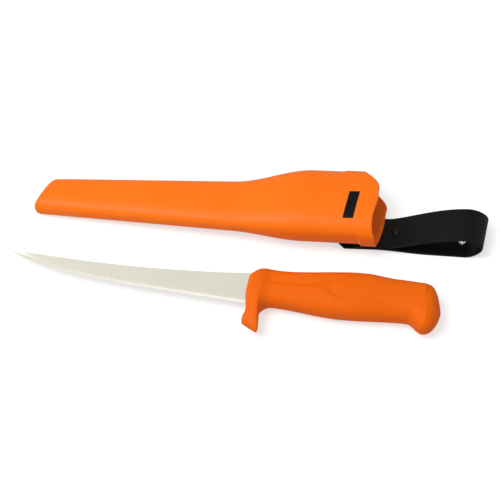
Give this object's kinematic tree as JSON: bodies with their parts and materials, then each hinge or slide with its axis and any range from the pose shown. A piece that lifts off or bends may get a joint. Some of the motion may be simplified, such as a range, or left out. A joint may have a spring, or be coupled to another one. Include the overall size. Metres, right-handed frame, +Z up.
{
  "type": "fishing knife with belt sheath",
  "caption": "Fixed-blade fishing knife with a slim upswept blade and an orange grip with a finger guard, lying beside its orange moulded sheath with a black leather belt loop.",
  "frame": {"origin": "on the table, under the middle of the whole layout's bounding box", "axes": "+X along the sheath from its point to its mouth, +Y from the knife towards the sheath, +Z up from the table"},
  "size_m": [0.311, 0.1196, 0.0339],
  "materials": {
    "blade_steel": "satin, ground along the blade",
    "grip_plastic": "fine matt grain, rubbery",
    "sheath_plastic": "satin moulded plastic",
    "label_black": "plain satin black",
    "strap_leather": "smooth dyed leather",
    "rivet_nickel": "bright nickel plate",
    "rivet_black": "black oxide, satin"
  },
  "bodies": {
    "sheath": {"sheath_body": "sheath_plastic", "sheath_label": "label_black", "swivel_rivet": "rivet_nickel", "swivel_rivet_cap": "rivet_nickel"},
    "belt_loop": {"belt_strap": "strap_leather", "strap_rivet": "rivet_black", "strap_rivet_cap": "rivet_black", "strap_eyelet": "rivet_nickel", "eyelet_washer": "rivet_nickel"},
    "knife": {"blade": "blade_steel", "handle": "grip_plastic"}
  },
  "joints": [
    {"name": "loop_swivel", "type": "hinge", "parent": "sheath", "child": "belt_loop", "pos_m": [0.07255, 0.02408, 0.0003], "axis": [-0.057, 0, 0.9984], "range_deg": [-12, 12]},
    {"name": "knife_lift", "type": "slide", "parent": "sheath", "child": "knife", "axis": [0, 0, 1], "range_m": [0, 0.12]}
  ]
}
